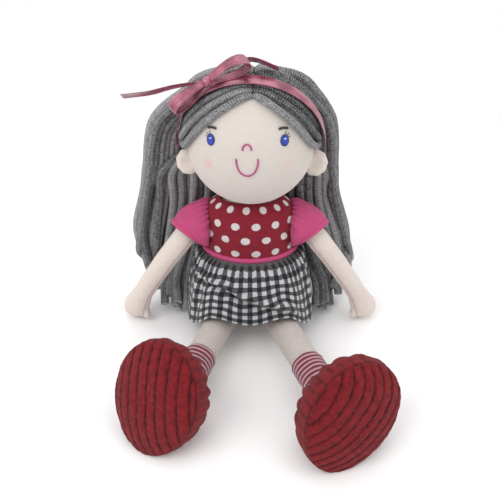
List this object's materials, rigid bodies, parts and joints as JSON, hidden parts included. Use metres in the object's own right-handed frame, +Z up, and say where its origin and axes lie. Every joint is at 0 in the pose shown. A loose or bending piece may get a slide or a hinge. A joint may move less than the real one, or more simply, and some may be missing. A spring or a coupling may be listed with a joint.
{
  "type": "rag doll",
  "caption": "Soft cloth doll with yarn hair, a ribbon bow, a short dress, striped socks and stuffed boots, sitting upright with its legs stretched out in front.",
  "frame": {"origin": "middle of the flat seat under the torso, on the surface that the doll sits on", "axes": "+Z up, the doll faces -Y, its own left side is +X"},
  "size_m": [0.2444, 0.2531, 0.2681],
  "materials": {
    "linen": "matt, fine plain weave",
    "dotted_cotton": "matt red cotton with an even pattern of small off-white dots",
    "pink_jersey": "matt",
    "gingham": "matt black and white woven check",
    "grey_yarn": "matt ribbed knit, mottled grey",
    "satin_ribbon": "glossy satin",
    "blue_thread": "slight sheen",
    "brown_thread": "slight sheen",
    "pink_thread": "slight sheen",
    "striped_knit": "matt knit in red and pale grey rings",
    "red_corduroy": "matt, broad ribs"
  },
  "bodies": {
    "torso": {"torso": "linen", "bodice": "dotted_cotton", "waist_piping": "pink_jersey"},
    "neck": {"neck": "linen"},
    "head": {"head": "linen", "ear_left": "linen", "ear_right": "linen", "eye_left": "blue_thread", "eye_right": "blue_thread", "brow_left": "brown_thread", "brow_right": "brown_thread", "nose_stitch": "pink_thread", "mouth_stitch": "pink_thread", "hair_crown_left": "grey_yarn", "hair_crown_right": "grey_yarn", "hair_lock_left_1": "grey_yarn", "hair_lock_left_2": "grey_yarn", "hair_lock_left_3": "grey_yarn", "hair_lock_left_4": "grey_yarn", "hair_lock_right_1": "grey_yarn", "hair_lock_right_2": "grey_yarn", "hair_lock_right_3": "grey_yarn", "hair_lock_right_4": "grey_yarn", "ribbon_band": "satin_ribbon", "bow_knot": "satin_ribbon", "bow_loop_upper": "satin_ribbon", "bow_loop_lower": "satin_ribbon", "bow_tail_long": "satin_ribbon", "bow_tail_short": "satin_ribbon"},
    "lap": {"skirt": "gingham", "hip_gusset": "linen"},
    "arm_left": {"arm_left": "linen", "sleeve_left": "pink_jersey"},
    "arm_right": {"arm_right": "linen", "sleeve_right": "pink_jersey"},
    "leg_left": {"leg_left": "linen", "sock_left": "striped_knit", "boot_upper_left": "red_corduroy", "boot_sole_left": "red_corduroy"},
    "leg_right": {"leg_right": "linen", "sock_right": "striped_knit", "boot_upper_right": "red_corduroy", "boot_sole_right": "red_corduroy"}
  },
  "joints": [
    {"name": "head_turn", "type": "hinge", "parent": "torso", "child": "neck", "pos_m": [0, -0.012, 0.128], "axis": [0, 0, 1], "range_deg": [-25, 25], "deforming": ["hair_lock_left_1", "hair_lock_left_2", "hair_lock_left_3", "hair_lock_left_4", "hair_lock_right_1", "hair_lock_right_2", "hair_lock_right_3", "hair_lock_right_4"]},
    {"name": "head_nod", "type": "hinge", "parent": "neck", "child": "head", "pos_m": [0, -0.012, 0.138], "axis": [1, 0, 0], "range_deg": [-15, 15], "deforming": ["hair_lock_left_1", "hair_lock_left_2", "hair_lock_left_3", "hair_lock_left_4", "hair_lock_right_1", "hair_lock_right_2", "hair_lock_right_3", "hair_lock_right_4"]},
    {"name": "shoulder_left", "type": "hinge", "parent": "torso", "child": "arm_left", "pos_m": [0.042, -0.012, 0.107], "axis": [-1, 0, 0], "range_deg": [0, 115], "deforming": ["sleeve_left"]},
    {"name": "shoulder_right", "type": "hinge", "parent": "torso", "child": "arm_right", "pos_m": [-0.042, -0.012, 0.107], "axis": [-1, 0, 0], "range_deg": [0, 115], "deforming": ["sleeve_right"]},
    {"name": "hip_fold", "type": "hinge", "parent": "torso", "child": "lap", "pos_m": [0, -0.028, 0.017], "axis": [1, 0, 0], "range_deg": [-15, 90], "deforming": ["skirt"]},
    {"name": "leg_splay_left", "type": "hinge", "parent": "lap", "child": "leg_left", "pos_m": [0.018, -0.028, 0.017], "axis": [0, 0, 1], "range_deg": [-12, 12], "deforming": ["skirt"]},
    {"name": "leg_splay_right", "type": "hinge", "parent": "lap", "child": "leg_right", "pos_m": [-0.018, -0.028, 0.017], "axis": [0, 0, -1], "range_deg": [-12, 12], "deforming": ["skirt"]}
  ]
}
